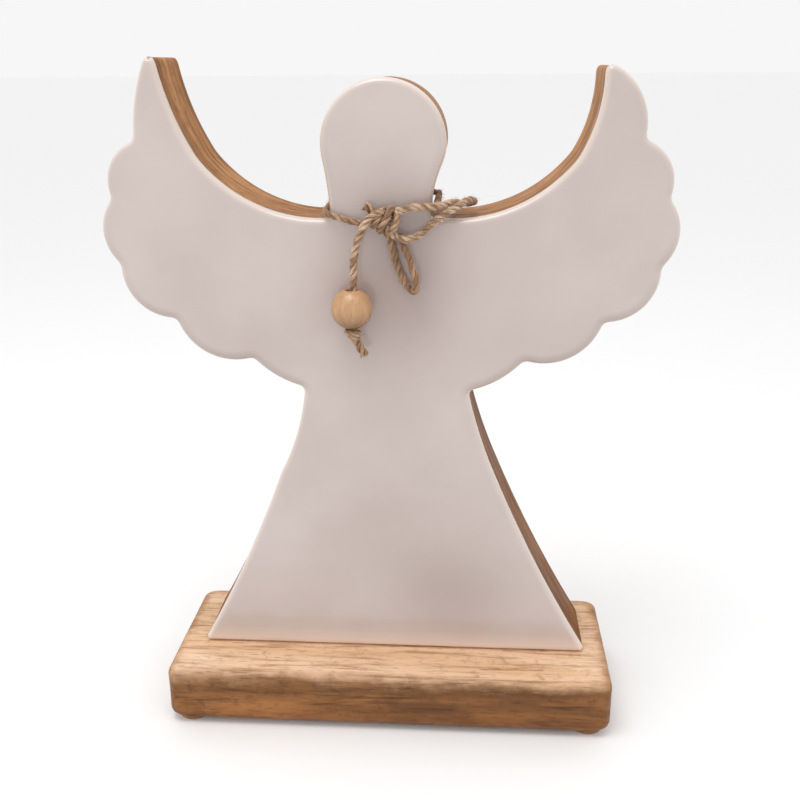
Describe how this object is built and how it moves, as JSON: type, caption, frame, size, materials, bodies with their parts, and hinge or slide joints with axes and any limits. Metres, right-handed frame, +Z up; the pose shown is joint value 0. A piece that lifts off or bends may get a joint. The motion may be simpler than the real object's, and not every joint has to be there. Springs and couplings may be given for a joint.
{
  "type": "angel figurine",
  "caption": "Flat-cut wooden angel with raised wings and a glossy white enamel front on a rectangular wood block, with a jute bow at the neck and a hanging wood bead.",
  "frame": {"origin": "centre of the block's plan, on the plane that the figure stands on, which is the underside of the felt pads", "axes": "+Z up; the enamelled front faces -Y; +X to the viewer's right, across the wings; +Y to the back"},
  "size_m": [0.2066, 0.066, 0.2533],
  "materials": {
    "mango_wood": "satin",
    "white_enamel": "gloss",
    "light_wood": "satin",
    "jute": "matte",
    "felt": "matte",
    "screw_steel": "satin"
  },
  "bodies": {
    "root": {"base_block": "mango_wood", "felt_pad_front_left": "felt", "felt_pad_front_right": "felt", "felt_pad_back_left": "felt", "felt_pad_back_right": "felt", "angel_board": "mango_wood", "enamel_face": "white_enamel", "fixing_screws": "screw_steel", "neck_tie": "jute", "bow_knot": "jute", "bow_loop_right": "jute", "bow_loop_lower": "jute", "short_end": "jute", "tail_root": "jute"},
    "tail": {"tail_drop": "jute", "end_knot": "jute", "frayed_end": "jute"},
    "bead": {"wood_bead": "light_wood"}
  },
  "joints": [
    {"name": "tail_swing", "type": "hinge", "parent": "root", "child": "tail", "pos_m": [-0.0095, -0.0179, 0.1907], "axis": [0, 1, 0], "range_deg": [-25, 60]},
    {"name": "bead_slide", "type": "slide", "parent": "tail", "child": "bead", "axis": [0, 0, 1], "range_m": [0, 0.006]}
  ]
}
